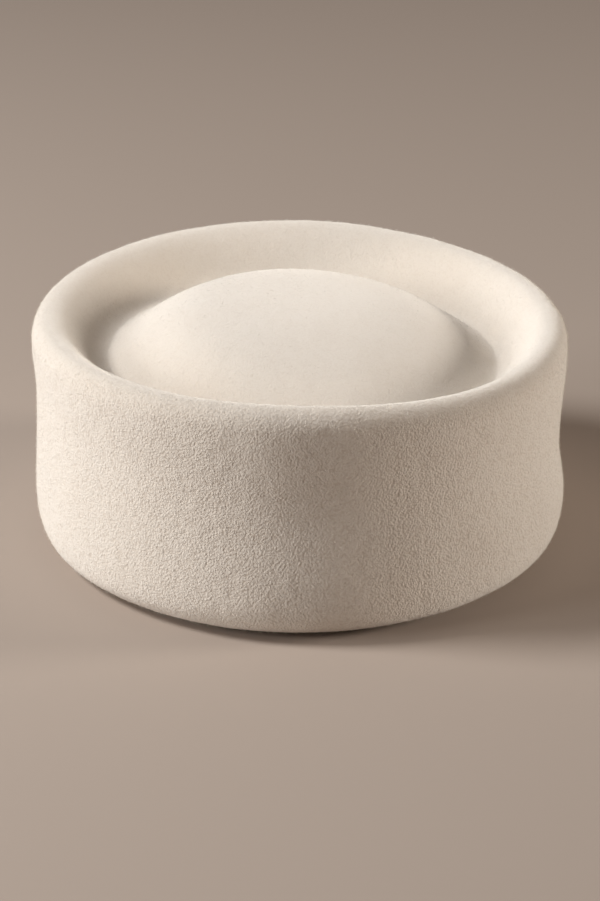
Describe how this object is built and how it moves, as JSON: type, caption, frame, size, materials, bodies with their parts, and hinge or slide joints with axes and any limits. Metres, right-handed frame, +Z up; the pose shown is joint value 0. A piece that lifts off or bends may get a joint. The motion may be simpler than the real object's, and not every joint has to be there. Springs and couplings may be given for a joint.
{
  "type": "pillbox hat",
  "caption": "Brimless felt pillbox hat with a soft rolled rim, a sloping recess and a low domed tip, open underneath for the head.",
  "frame": {"origin": "on the resting plane, in the middle of the lower edge", "axes": "+Z up towards the domed tip, -Y towards the wearer's front, +X towards the wearer's left"},
  "size_m": [0.1816, 0.202, 0.0834],
  "materials": {
    "wool_felt": "matt wool felt, finely pilled, ivory"
  },
  "bodies": {
    "root": {"felt_body": "wool_felt"}
  },
  "joints": []
}
